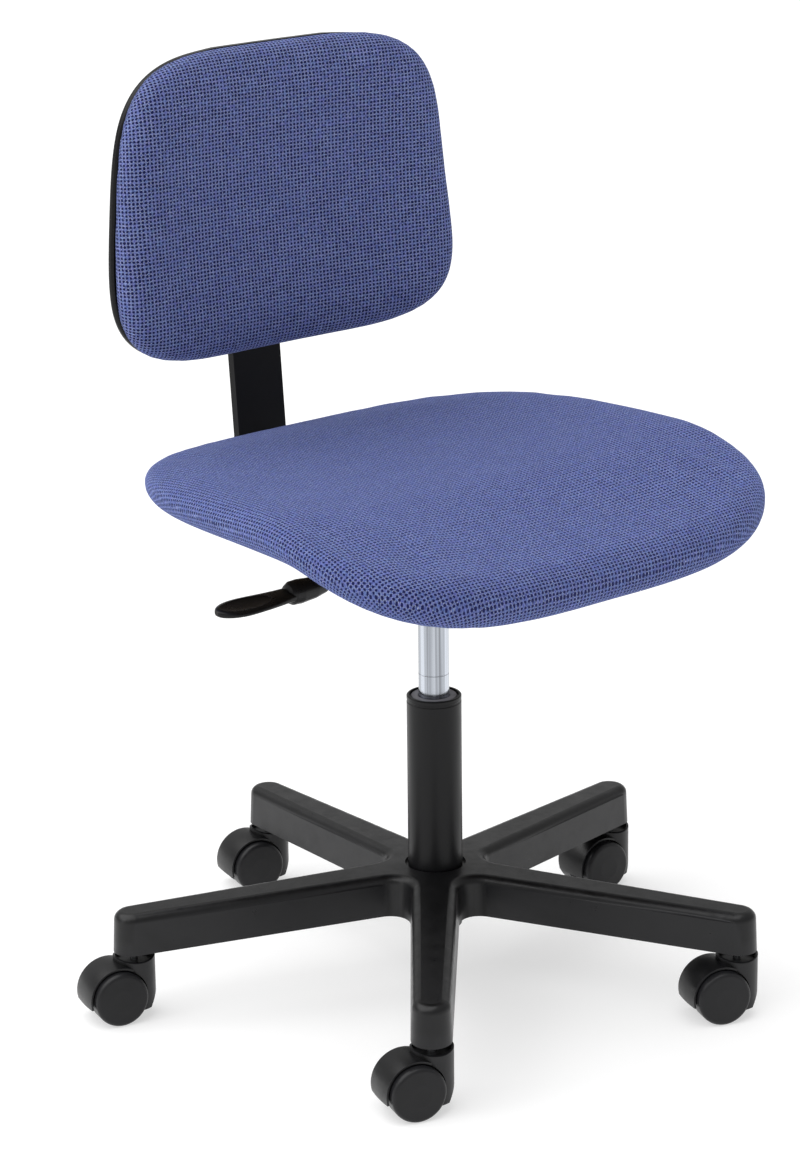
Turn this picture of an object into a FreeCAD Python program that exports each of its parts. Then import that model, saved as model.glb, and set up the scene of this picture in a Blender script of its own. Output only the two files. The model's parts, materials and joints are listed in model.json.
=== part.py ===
import FreeCAD, Part
import math
import os
import re
import Sketcher
from FreeCAD import Placement, Rotation, Vector

# Swivel office chair: five-arm castor base, gas lift, seat with a height lever,
# and a backrest on a flat steel bar that slides in under the seat.
# Millimetres.  +Z is up, the chair faces -Y, and the sitter's right is -X.
# The origin is on the floor, on the axis of the column.

SIZES = {
    # five-arm base
    "arm_count": (5, "arms and castors"),
    "arm_turn": (-131.9, "direction of the first arm, degrees from +X"),
    "stem_pitch": (285.5, "column axis to castor stem"),
    "arm_root_half": (24.5, "half width of an arm at the column axis"),
    "arm_tip_half": (18.8, "half width of an arm at the castor stem"),
    "arm_draft": (0.0448, "how much narrower an arm gets per unit of height, each side"),
    "arm_crown": (8, "rounding of the top edges"),
    "arm_web_round": (20, "rounding in plan between two arms"),
    "star_top": (112.6, "height of the top surface, produced to the axis"),
    "star_bottom": (75, "height of the lower edge, produced to the axis"),
    "star_fall": (0.0437, "drop of both surfaces per unit of radius"),
    "arm_wall": (4, "wall of the hollow arm"),
    "arm_skin": (6.5, "thickness of the arm's top skin"),
    "cell_count": (3, "hollows along each side of an arm's rib"),
    "cell_start": (64, "where the first hollow starts, from the column axis"),
    "cell_pitch": (64, "from one hollow to the next"),
    "cell_length": (60, "length of a hollow"),
    "cell_draft": (6.4, "how much narrower a hollow is at its top"),
    "hub_radius": (35, "hub around the column"),
    "hub_bottom": (64, "underside of the hub"),
    "hub_ring": (28, "radius of the recess around the column"),
    "hub_ring_depth": (4, "depth of that recess"),
    # column
    "tube_radius": (25, "outer tube of the gas lift"),
    "tube_end": (24.2, "radius of the tapered lower end"),
    "tube_bore": (22.5, "bore of the outer tube"),
    "tube_bottom": (52, "lower rim of the tube"),
    "tube_top": (274.3, "upper rim of the tube"),
    "tube_floor": (56, "underside of the floor inside the tube"),
    "floor_thick": (4, "thickness of that floor"),
    "groove_low": (6.5, "lower edge of the tube's groove, below its rim"),
    "groove_high": (4, "upper edge of that groove, below the rim"),
    "groove_depth": (0.5, "depth of that groove, and width of its slopes"),
    "edge_break": (0.8, "chamfer on turned edges"),
    "bush_bottom": (200, "lower end of the guide bush"),
    "bush_step": (3, "height of the bush's collar below the rim"),
    "cyl_radius": (14, "pressure cylinder"),
    "cyl_bore": (11.25, "bore of the cylinder"),
    "cyl_bottom": (154, "lower end of the cylinder"),
    "cyl_top": (394, "upper end of the cylinder"),
    "cyl_cap": (20, "thickness of the closed upper end"),
    "taper_start": (350, "where the cylinder starts to taper"),
    "taper_drop": (1, "radius lost over the taper"),
    "ring_mark": (295, "height of the scribed ring on the cylinder"),
    "ring_depth": (0.25, "depth of that ring"),
    "ring_half": (0.5, "half width of that ring"),
    "gland_height": (12, "height of the cylinder's gland"),
    "rod_radius": (5, "piston rod"),
    "rod_top": (231, "upper end of the piston rod"),
    "rod_neck": (1, "radius lost at the clip's groove"),
    "rod_shank": (3.5, "radius of the rod inside the piston"),
    "clip_flange": (9, "outer radius of the rod's clip"),
    "clip_thick": (2.2, "thickness of the clip"),
    "piston_height": (18, "length of the piston's seat on the rod"),
    "bump_height": (6.5, "height of the rubber bump ring"),
    "run_fit": (0.05, "radial clearance of a running fit"),
    "gap": (0.3, "clearance between parts of different bodies"),
    "race_radius": (14, "thrust bearing races"),
    "race_thick": (2, "thickness of one race"),
    "ball_radius": (2, "thrust bearing balls"),
    "ball_pitch": (10.5, "radius of the ball circle"),
    "ball_count": (12, "balls"),
    "pin_radius": (3, "valve release pin"),
    "pin_top": (400, "top of the release pin"),
    "pin_depth": (17, "how far the pin reaches into the cylinder"),
    # castors
    "wheel_radius": (25, "castor wheel"),
    "wheel_inner": (6.6, "inner face of a wheel from the castor's mid plane"),
    "wheel_outer": (26, "outer face of a wheel from the mid plane"),
    "wheel_round": (4, "rounding of the outer shoulder of a wheel"),
    "wheel_dome": (1, "rise of the outer face inside the shoulder"),
    "wheel_flat": (10, "radius of the flat middle of the outer face"),
    "wheel_tread": (4, "thickness of the tread"),
    "wheel_face": (5.5, "thickness of the outer face"),
    "wheel_boss": (6, "radius of the wheel's boss on the axle"),
    "wheel_draft": (0.5, "draft of the hollow between boss and tread"),
    "wheel_edge": (1.2, "chamfer of the inner rim"),
    "trail": (21, "stem axis to wheel axle"),
    "trail_1": (162.2, "direction in which castor 1 trails, degrees from +X"),
    "trail_2": (158.5, "direction in which castor 2 trails"),
    "trail_3": (175.8, "direction in which castor 3 trails"),
    "trail_4": (167.2, "direction in which castor 4 trails"),
    "trail_5": (165.6, "direction in which castor 5 trails"),
    "axle_radius": (3, "castor axle"),
    "axle_half": (22, "half length of the axle"),
    "axle_boss": (5.5, "radius of the hood's boss around the axle"),
    "hood_radius": (28.2, "outside of the castor hood about the axle, at its sides"),
    "hood_crown": (0.9, "extra radius of the hood in its mid plane"),
    "hood_inner": (26.4, "inside of the castor hood about the axle"),
    "hood_half": (17.5, "half width of the hood"),
    "hood_tail": (15, "how far below the axle the hood ends at its trailing side, degrees"),
    "web_half": (6, "half thickness of the hood's middle web"),
    "collar_radius": (19, "collar of the hood around the stem"),
    "collar_top": (58, "top of that collar in the mid plane"),
    "collar_saddle": (61.7, "radius of the collar's rim seen along the trail"),
    "collar_foot": (25.5, "lower edge of the collar's leading side"),
    "collar_wall": (2, "wall around the recess in the collar's top"),
    "collar_recess": (5, "depth of that recess"),
    "skirt_fore": (-9, "front corner of the hood's lower edge, from the stem axis"),
    "skirt_fore_z": (10, "height of that corner"),
    "skirt_aft": (10, "rear corner of the hood's lower edge, from the stem axis"),
    "skirt_aft_z": (9, "height of that corner"),
    "stem_radius": (5.5, "castor stem in the arm"),
    "stem_pin": (3.5, "castor stem in the hood"),
    "stem_top": (94, "top of the stem"),
    "stem_foot": (42, "bottom of the stem"),
    "stem_flange": (8.5, "radius of the stem's flange"),
    "stem_flange_z": (1.8, "thickness of that flange"),
    "stem_neck": (1.2, "radius lost at the grip ring's groove"),
    "neck_low": (12, "lower edge of that groove, below the top"),
    "neck_high": (6, "upper edge of that groove, below the top"),
    # seat mechanism
    "plate_top": (453.3, "top of the seat plate, where the board lies on it"),
    "plate_thick": (3, "thickness of the seat plate"),
    "plate_half": (75, "half width of the seat plate"),
    "plate_front": (-84, "front edge of the seat plate"),
    "plate_rear": (118, "rear edge of the seat plate"),
    "plate_corner": (12, "rounding of the seat plate's corners"),
    "bolt_radius": (3, "seat bolts"),
    "bolt_across": (10, "seat bolt heads across their flats"),
    "bolt_head": (4, "height of the seat bolt heads"),
    "tee_thick": (1.4, "thickness of the tee nut flanges"),
    "tee_radius": (4.4, "barrels of the tee nuts"),
    "tee_flange": (9, "flanges of the tee nuts"),
    "tee_depth": (8.8, "underside of the tee nut flanges above the plate"),
    "bolt_x": (60, "seat bolts from the middle"),
    "bolt_y": (58, "seat bolts fore and aft"),
    "housing_half": (31, "half width of the mechanism housing"),
    "housing_wall": (2.5, "wall of the housing"),
    "housing_front": (-50, "front of the housing"),
    "housing_low": (385, "underside of the deep front part"),
    "channel_low": (426, "underside of the rear channel"),
    "socket_radius": (20, "outside of the taper socket"),
    "socket_bottom": (352, "lower end of the taper socket"),
    "socket_top": (396, "upper end of the taper socket"),
    "lever_height": (404.3, "height of the lever rod's axis"),
    "lever_radius": (4, "lever rod"),
    "lever_pivot_x": (-24, "pivot of the lever"),
    "pivot_radius": (2, "pin that the lever turns on"),
    "pivot_length": (22, "length of that pin"),
    "lug_gap": (6, "inner face of the pin's lugs from the rod's axis"),
    "lug_thick": (3, "thickness of a lug"),
    "lug_long": (9, "how far a lug stands in from the housing's wall"),
    "lug_high": (11, "height of a lug"),
    "rod_past_pivot": (31, "how far the rod reaches past its pivot"),
    "handle_start": (-125, "inner end of the lever handle"),
    "handle_end": (-245, "tip of the lever handle"),
    "rod_in_handle": (40, "how far the rod reaches into the handle"),
    "paddle_z": (403, "middle of the paddle's thickness"),
    "paddle_tilt": (9, "tilt of the paddle towards the front, degrees"),
    "paddle_thick": (7, "thickness of the paddle"),
    "dish_place": (88.8, "middle of the paddle's dish from the handle's inner end"),
    "dish_depth": (2.4, "depth of the dish"),
    "dish_long": (27, "half length of the dish"),
    "dish_half": (11.5, "half width of the dish"),
    # back bar
    "bar_half": (28, "half width of the back bar"),
    "bar_thick": (8, "thickness of the back bar"),
    "bar_front": (45, "front end of the bar under the seat"),
    "bar_top_gap": (0.3, "bar to seat plate"),
    "bar_lean": (4.65, "lean of the upright, degrees"),
    "bar_face_y": (242.3, "front face of the upright at the height below"),
    "bar_face_z": (478, "height at which that face is given"),
    "bar_length": (225, "upright length above that height"),
    "bar_bend": (25, "inner radius of the bar's bend"),
    "clamp_y": (90, "clamping screw of the bar"),
    "nut_across": (17, "clamping nut across its flats"),
    "nut_height": (8, "height of the clamping nut"),
    "screw_radius": (5, "clamping screws"),
    "knob_radius": (21, "clamping knobs"),
    "knob_depth": (22, "thickness of a knob"),
    "knob_lobes": (6, "lobes of a knob"),
    "lobe_radius": (6, "one lobe of a knob"),
    "knob_core": (17.5, "radius of a knob between its lobes"),
    "knob_edge": (1.8, "rounding of a knob's edges"),
    "knob_boss": (9, "boss on a knob, around the screw"),
    "knob_boss_z": (4, "height of that boss"),
    "knob_blind": (6, "solid end of a knob beyond its screw"),
    "knob_hang": (30, "far face of the depth knob below the channel"),
    # seat
    "seat_mid_y": (-10.7, "middle of the seat"),
    "seat_half_x": (248.8, "half width of the seat"),
    "seat_half_y": (226.4, "half depth of the seat"),
    "seat_front_power": (3.74, "squareness of the front outline"),
    "seat_rear_power": (2.86, "squareness of the rear outline"),
    "seat_narrow": (-0.061, "how the width changes towards the rear"),
    "seat_top": (489.5, "top of the cushion in the middle"),
    "seat_low": (453.3, "underside of the cushion in the middle"),
    "seat_drop_top": (32, "drop of the top at the front edge"),
    "seat_drop_low": (44, "drop of the underside at the front edge"),
    "seat_drop_start": (75, "where the front starts to fall, from the middle"),
    "seat_lift": (13.4, "rise of the sides"),
    "seat_flat": (90, "half width of the flat middle"),
    "seat_round": (19, "rounding of the sides"),
    "seat_end_power": (9, "how late the front and rear edges thin out"),
    "board_thick": (11, "moulded plywood seat board"),
    "board_inset": (26, "board edge inside the cushion edge"),
    # backrest
    "back_y": (216.6, "middle of the backrest, fore and aft"),
    "back_z": (704.3, "middle of the backrest, height"),
    "back_half_low": (206.8, "half width at the bottom"),
    "back_half_high": (174.5, "half width at the top"),
    "back_half_z": (139.4, "half height"),
    "back_power": (4, "squareness of the outline"),
    "back_end_power": (12, "how late the upper and lower edges thin out"),
    "back_tilt": (1.55, "tilt of the backrest, degrees"),
    "back_curve": (16.65, "how far the sides come forward at 200 mm"),
    "back_bulge": (6.15, "how far the top and bottom come forward"),
    "back_front": (-19.5, "front of the cushion from the middle surface"),
    "back_rim": (4.5, "front of the shell's rim"),
    "back_rear": (11.5, "back of the shell at its edge"),
    "back_crown": (13.5, "extra depth of the shell in its middle"),
    "back_inset": (1.5, "cushion edge inside the shell's edge"),
    "back_board_thick": (8, "plywood board in the backrest"),
    "back_board_inset": (16, "edge of that board inside the shell's edge"),
    "shell_wall": (3, "wall of the shell"),
    "shell_round": (3, "rounding of the shell's edge"),
    "hollow_round": (2, "rounding of the shell's hollow"),
    "back_round": (12, "rounding of the back cushion's edge"),
    "bracket_half": (42, "half width of the back bracket"),
    "bracket_low": (165, "lower end of the bracket along the bar"),
    "bracket_high": (255, "upper end of the bracket along the bar"),
    "bracket_front": (-13, "front of the bracket from the bar's face"),
    "bracket_rear": (16, "rear of the bracket from the bar's face"),
    "bracket_edge": (6, "rounding of the bracket's rear edges"),
    "boss_depth": (9, "how far the shell's boss reaches into the shell"),
    "shell_screw": (2.5, "screws that hold the bracket"),
    "shell_screw_x": (35, "those screws from the middle"),
    "shell_screw_in": (15, "those screws from the bracket's ends"),
    "screw_head": (4.6, "radius of their heads"),
    "screw_head_z": (3, "height of their heads"),
    "screw_head_edge": (1.5, "rounding of their heads"),
    "knob_standoff": (5, "height knob's boss end from the bracket, less the boss"),
    "cap_thick": (3, "plug on the upper end of the bar"),
    "cap_inset": (2, "edge of that plug inside the bar's sides"),
    "cap_edge": (1.2, "rounding of that plug"),
}

doc = FreeCAD.newDocument("swivel_office_chair")
sheet = doc.addObject("Spreadsheet::Sheet", "Sizes")
for row, (alias, (number, meaning)) in enumerate(SIZES.items(), 1):
    sheet.set(f"A{row}", meaning)
    sheet.set(f"B{row}", str(number))
    sheet.setAlias(f"B{row}", alias)
doc.recompute()

PARTS = []
WORD = re.compile(r"[A-Za-z_]\w*")
UP = Vector(0, 0, 1)


def formula(text):
    """Spreadsheet expression for a formula written with the plain names of the cells."""
    def cell(word):
        return "Sizes." + word.group() if word.group() in SIZES else word.group()

    return WORD.sub(cell, str(text))


def value(text):
    return float(sheet.evalExpression(formula(text)))


def bind(item, **formulas):
    for name, text in formulas.items():
        item.setExpression(name, formula(text))


def place(item, at=(0, 0, 0), rotation=None):
    """Puts an object at a place given as three formulas."""
    item.Placement = Placement(Vector(*[value(text) for text in at]), rotation or Rotation())
    for axis, text in zip("xyz", at):
        item.setExpression(f".Placement.Base.{axis}", formula(text))
    return item


def part(item, name, at=(0, 0, 0), rotation=None):
    """Registers a finished sub-part under its own name and puts it in its place."""
    item.Label = name
    PARTS.append(place(item, at, rotation))
    return item


def outline(body, role, corners):
    """Closed sketch through the corners, each a pair of formulas, fully dimensioned from the origin."""
    sketch = body.newObject("Sketcher::SketchObject", body.Name + "_outline")
    plane = next(item for item in body.Origin.OriginFeatures if item.Role == role)
    sketch.AttachmentSupport = [(plane, "")]
    sketch.MapMode = "FlatFace"
    points = [Vector(value(across), value(up), 0) for across, up in corners]
    for start, end in zip(points, points[1:] + points[:1]):
        sketch.addGeometry(Part.LineSegment(start, end), False)
    for i in range(len(corners)):
        sketch.addConstraint(Sketcher.Constraint("Coincident", i, 2, (i + 1) % len(corners), 1))
    for i, pair in enumerate(corners):
        for kind, text, start in zip(("DistanceX", "DistanceY"), pair, points[i]):
            index = sketch.addConstraint(Sketcher.Constraint(kind, -1, 1, i, 1, start))
            sketch.setExpression(f"Constraints[{index}]", formula(text))
    return sketch


def turned_body(name, corners):
    """Body of revolution about its Z axis; each corner is (radius, height)."""
    body = doc.addObject("PartDesign::Body", name)
    turn = body.newObject("PartDesign::Revolution", name + "_turn")
    turn.Profile = outline(body, "XZ_Plane", corners)
    turn.ReferenceAxis = (turn.Profile[0], ["V_Axis"])
    turn.Angle = 360
    body.Tip = turn
    return body


def turned(name, corners, at=(0, 0, 0), rotation=None):
    return part(turned_body(name, corners), name, at, rotation)


def padded(name, role, corners, length):
    """Body extruded evenly to both sides of one of its origin planes."""
    body = doc.addObject("PartDesign::Body", name)
    pad = body.newObject("PartDesign::Pad", name + "_pad")
    pad.Profile = outline(body, role, corners)
    pad.Midplane = True
    bind(pad, Length=length)
    body.Tip = pad
    return body, pad


def cylinder(radius, low, high, at=(0, 0), direction=UP):
    """Plain cylinder from low to high along a direction; numbers, not formulas."""
    start = Vector(at[0], at[1], 0) + direction * low
    return Part.makeCylinder(radius, high - low, start, direction)


def solid(kind, name, at=(0, 0, 0), rotation=None, **formulas):
    """Part primitive with its sizes bound to the sheet."""
    item = doc.addObject("Part::" + kind, name)
    bind(item, **formulas)
    return place(item, at, rotation)


def joined(kind, name, first, *others):
    """Chain of Part::Cut, Part::Fuse or Part::Common objects."""
    result = first
    for i, other in enumerate(others):
        step = doc.addObject("Part::" + kind, f"{name}_{kind.lower()}{i}")
        step.Base = result
        step.Tool = other
        result = step
    return result


def shaped(name, shape, at=(0, 0, 0), rotation=None):
    """Sub-part whose shape is worked out in code from the sheet's sizes."""
    item = doc.addObject("Part::Feature", name)
    item.Shape = shape
    return part(item, name, at, rotation)


def moved(shape, origin, rotation):
    """Copy of a shape with the movement worked into its geometry."""
    return shape.transformed(Placement(origin, rotation).toMatrix(), copy=True)


def spaced(count):
    return range(int(count))


def around(radius, degrees, z=0):
    angle = math.radians(degrees)
    return Vector(radius * math.cos(angle), radius * math.sin(angle), z)


def stem_place(k):
    """Formulas for the axis of a castor stem, counted from 0."""
    angle_text = f"arm_turn + {k} * 360 / arm_count"
    return f"stem_pitch * cos({angle_text})", f"stem_pitch * sin({angle_text})"


ARM_ANGLES = [value("arm_turn") + 360 / value("arm_count") * k for k in spaced(value("arm_count"))]
STEMS = [around(value("stem_pitch"), angle) for angle in ARM_ANGLES]
MARGIN = 10  # how far cutting tools and blanks reach past the surfaces that they meet
CLOSE = 0.01  # two sizes that differ by less are the same


# ---------------------------------------------------------------- five-arm base

def star_wire(z, narrower):
    """Plan of the five arms at one height: round tips, straight flanks, rounded corners between arms."""
    tip = value("arm_tip_half") - narrower
    root = value("arm_root_half") - narrower
    pitch = value("stem_pitch")
    web = value("arm_web_round")
    half_turn = math.pi / value("arm_count")
    slope = math.atan2(root - tip, pitch)
    # The flank is the line through (0, root) and (pitch, tip).  The corner arc touches it and the
    # mirror image of it on the next arm.
    away = half_turn + slope
    centre_radius = (root * math.cos(slope) + web) / math.sin(away)
    centre = Vector(centre_radius * math.cos(half_turn), centre_radius * math.sin(half_turn), 0)
    normal = Vector(math.sin(slope), math.cos(slope), 0)
    touch = centre - normal * web
    inward = centre * ((centre_radius - web) / centre_radius)
    flank_tip = Vector(pitch, 0, 0) + normal * tip
    edges = []
    for angle in ARM_ANGLES:
        turn = Rotation(UP, angle)

        def put(point, side=1):
            return turn.multVec(Vector(point.x, point.y * side, z))

        next_turn = Rotation(UP, angle + 360 / value("arm_count"))
        next_touch = next_turn.multVec(Vector(touch.x, -touch.y, z))
        edges.append(Part.LineSegment(put(touch, -1), put(flank_tip, -1)).toShape())
        edges.append(Part.Arc(put(flank_tip, -1), put(Vector(pitch + tip, 0, 0)), put(flank_tip)).toShape())
        edges.append(Part.LineSegment(put(flank_tip), put(touch)).toShape())
        edges.append(Part.Arc(put(touch), put(inward), next_touch).toShape())
    return Part.Wire(edges)


def arm_cell(angle, inner, outer, side):
    """Tapered hollow under an arm, on one side of its middle rib."""
    wall = value("arm_wall")
    rib = wall / 2
    fall = value("star_fall")

    def half_width(radius):
        narrowing = (value("arm_root_half") - value("arm_tip_half")) / value("stem_pitch")
        return value("arm_root_half") - narrowing * radius

    def floor(radius):
        return value("star_bottom") - MARGIN - fall * radius

    def ceiling(radius):
        return value("star_top") - value("arm_skin") - fall * radius

    wires = []
    for height, inset in ((floor, wall), (ceiling, wall + value("cell_draft"))):
        points = [
            Vector(inner, rib * side, height(inner)),
            Vector(outer, rib * side, height(outer)),
            Vector(outer, (half_width(outer) - inset) * side, height(outer)),
            Vector(inner, (half_width(inner) - inset) * side, height(inner)),
        ]
        wires.append(Part.makePolygon(points + points[:1]))
    cell = Part.makeLoft(wires, True, True)
    cell.rotate(Vector(), UP, angle)
    return cell


def base_star():
    fall = value("star_fall")
    reach = value("stem_pitch + arm_tip_half") + MARGIN
    low = value("hub_bottom") - 2 * MARGIN
    high = value("star_top") + MARGIN
    blank = Part.makeLoft([star_wire(low, 0), star_wire(high, value("arm_draft") * (high - low))], True, True)
    profile = Part.makePolygon([
        Vector(0, 0, value("star_bottom")),
        Vector(reach, 0, value("star_bottom") - fall * reach),
        Vector(reach, 0, value("star_top") - fall * reach),
        Vector(0, 0, value("star_top")),
        Vector(0, 0, value("star_bottom")),
    ])
    layer = Part.Face(profile).revolve(Vector(), UP, 360)
    star = blank.common(layer)

    def on_crown(edge):
        """Whether an edge lies in the sloping top surface, outside the column."""
        tolerance = 0.2
        for fraction in (0.0, 0.5, 1.0):
            parameter = edge.FirstParameter + fraction * (edge.LastParameter - edge.FirstParameter)
            point = edge.valueAt(parameter)
            radius = math.hypot(point.x, point.y)
            above = point.z - (value("star_top") - fall * radius)
            if abs(above) > tolerance or radius < value("tube_radius"):
                return False
        return True

    star = star.makeFillet(value("arm_crown"), [edge for edge in star.Edges if on_crown(edge)])
    star = star.fuse(cylinder(value("hub_radius"), value("hub_bottom"), value("star_top - hub_ring_depth")))
    for angle in ARM_ANGLES:
        for cell in spaced(value("cell_count")):
            inner = value("cell_start") + value("cell_pitch") * cell
            for side in (-1, 1):
                star = star.cut(arm_cell(angle, inner, inner + value("cell_length"), side))
    bore = Part.makeCone(value("tube_end"), value("tube_radius"), value("star_top - hub_bottom"),
                         Vector(0, 0, value("hub_bottom")), UP)
    star = star.cut(bore)
    star = star.cut(cylinder(value("hub_ring"), value("star_top - hub_ring_depth"), high))
    for stem in STEMS:
        star = star.cut(cylinder(value("stem_radius"), 0, value("stem_top"), (stem.x, stem.y)))
    return star.removeSplitter()


shaped("base_star", base_star())


# ---------------------------------------------------------------- column

turned("column_tube", [
    ("tube_bore", "tube_bottom"),
    ("tube_end", "tube_bottom"),
    ("tube_end", "hub_bottom"),
    ("tube_radius", "star_top"),
    ("tube_radius", "tube_top - groove_low"),
    ("tube_radius - groove_depth", "tube_top - groove_low + groove_depth"),
    ("tube_radius - groove_depth", "tube_top - groove_high - groove_depth"),
    ("tube_radius", "tube_top - groove_high"),
    ("tube_radius", "tube_top - edge_break"),
    ("tube_radius - edge_break", "tube_top"),
    ("tube_bore", "tube_top"),
    ("tube_bore", "tube_floor + floor_thick"),
    ("rod_radius + run_fit", "tube_floor + floor_thick"),
    ("rod_radius + run_fit", "tube_floor"),
    ("tube_bore", "tube_floor"),
])
turned("guide_bush", [
    ("cyl_radius + run_fit", "bush_bottom"),
    ("tube_bore", "bush_bottom"),
    ("tube_bore", "tube_top - bush_step"),
    ("tube_bore - 2", "tube_top - bush_step"),
    ("tube_bore - 2", "tube_top - edge_break"),
    ("cyl_radius + run_fit + edge_break", "tube_top - edge_break"),
    ("cyl_radius + run_fit", "tube_top - edge_break * 2"),
])
turned("lower_bearing_race", [
    ("rod_radius + 1", "tube_floor + floor_thick"),
    ("race_radius", "tube_floor + floor_thick"),
    ("race_radius", "tube_floor + floor_thick + race_thick"),
    ("rod_radius + 1", "tube_floor + floor_thick + race_thick"),
])

balls = doc.addObject("Part::Compound", "bearing_balls")
ball_links = []
for k in spaced(value("ball_count")):
    turn_text = f"{k} * 360 / ball_count"
    ball_links.append(solid(
        "Sphere", f"ball_{k}",
        (f"ball_pitch * cos({turn_text})", f"ball_pitch * sin({turn_text})",
         "tube_floor + floor_thick + race_thick + ball_radius"),
        Radius="ball_radius"))
balls.Links = ball_links
part(balls, "bearing_balls")

RACE_LOW = "tube_floor + floor_thick + race_thick + ball_radius * 2 + gap"
turned("upper_bearing_race", [
    ("rod_radius", RACE_LOW),
    ("race_radius", RACE_LOW),
    ("race_radius", RACE_LOW + " + race_thick"),
    ("rod_radius", RACE_LOW + " + race_thick"),
])
turned("bump_ring", [
    ("rod_radius", RACE_LOW + " + race_thick"),
    ("race_radius - 1", RACE_LOW + " + race_thick"),
    ("race_radius - 3", RACE_LOW + " + race_thick + bump_height"),
    ("rod_radius", RACE_LOW + " + race_thick + bump_height"),
])
turned("piston_rod", [
    (0, "tube_bottom + 0.5"),
    ("rod_radius - rod_neck", "tube_bottom + 0.5"),
    ("rod_radius - rod_neck", "tube_floor - gap"),
    ("rod_radius", "tube_floor - gap"),
    ("rod_radius", "rod_top - piston_height"),
    ("rod_shank", "rod_top - piston_height"),
    ("rod_shank", "rod_top"),
    (0, "rod_top"),
])
turned("rod_clip", [
    ("rod_radius - rod_neck", "tube_floor - gap - clip_thick"),
    ("clip_flange", "tube_floor - gap - clip_thick"),
    ("clip_flange", "tube_floor - gap"),
    ("rod_radius - rod_neck", "tube_floor - gap"),
])
turned("piston", [
    ("rod_shank", "rod_top - piston_height"),
    ("cyl_bore - run_fit", "rod_top - piston_height"),
    ("cyl_bore - run_fit", "rod_top - 11"),
    ("cyl_bore - 1.5", "rod_top - 10"),
    ("cyl_bore - 1.5", "rod_top - 7"),
    ("cyl_bore - run_fit", "rod_top - 6"),
    ("cyl_bore - run_fit", "rod_top - 1"),
    ("rod_shank", "rod_top - 1"),
])
turned("gas_cylinder", [
    ("cyl_bore", "cyl_bottom"),
    ("cyl_radius - edge_break", "cyl_bottom"),
    ("cyl_radius", "cyl_bottom + edge_break * 2"),
    ("cyl_radius", "ring_mark - ring_half"),
    ("cyl_radius - ring_depth", "ring_mark - ring_half + ring_depth"),
    ("cyl_radius - ring_depth", "ring_mark + ring_half - ring_depth"),
    ("cyl_radius", "ring_mark + ring_half"),
    ("cyl_radius", "taper_start"),
    ("cyl_radius - taper_drop", "cyl_top"),
    ("pin_radius + run_fit", "cyl_top"),
    ("pin_radius + run_fit", "cyl_top - cyl_cap"),
    ("cyl_bore", "cyl_top - cyl_cap"),
])
turned("cylinder_gland", [
    ("rod_radius + run_fit", "cyl_bottom + 1"),
    ("cyl_bore", "cyl_bottom + 1"),
    ("cyl_bore", "cyl_bottom + 1 + gland_height"),
    ("rod_radius + run_fit", "cyl_bottom + 1 + gland_height"),
])
turned("release_pin", [
    (0, "cyl_top - pin_depth"),
    ("pin_radius", "cyl_top - pin_depth"),
    ("pin_radius", "pin_top - edge_break"),
    ("pin_radius - edge_break", "pin_top"),
    (0, "pin_top"),
])


# ---------------------------------------------------------------- castors

stem_links = []
ring_links = []
for k in spaced(value("arm_count")):
    stem_at = (*stem_place(k), 0)
    stem_body = turned_body(f"stem_{k + 1}", [
        (0, "stem_foot"),
        ("stem_pin", "stem_foot"),
        ("stem_pin", "collar_top + gap"),
        ("stem_flange", "collar_top + gap"),
        ("stem_flange", "collar_top + gap + stem_flange_z"),
        ("stem_radius", "collar_top + gap + stem_flange_z"),
        ("stem_radius", "stem_top - neck_low"),
        ("stem_radius - stem_neck", "stem_top - neck_low"),
        ("stem_radius - stem_neck", "stem_top - neck_high"),
        ("stem_radius", "stem_top - neck_high"),
        ("stem_radius", "stem_top - 2.5"),
        ("stem_radius - 2", "stem_top - 0.5"),
        (0, "stem_top - 0.5"),
    ])
    stem_links.append(place(stem_body, stem_at))
    ring_body = turned_body(f"ring_{k + 1}", [
        ("stem_radius - stem_neck", "stem_top - neck_low + 0.5"),
        ("stem_radius - 0.1", "stem_top - neck_low + 0.5"),
        ("stem_radius - 0.1", "stem_top - neck_high - 0.5"),
        ("stem_radius - stem_neck", "stem_top - neck_high - 0.5"),
    ])
    ring_links.append(place(ring_body, stem_at))
for name, links in (("caster_stems", stem_links), ("stem_grip_rings", ring_links)):
    group = doc.addObject("Part::Compound", name)
    group.Links = links
    part(group, name)


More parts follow.
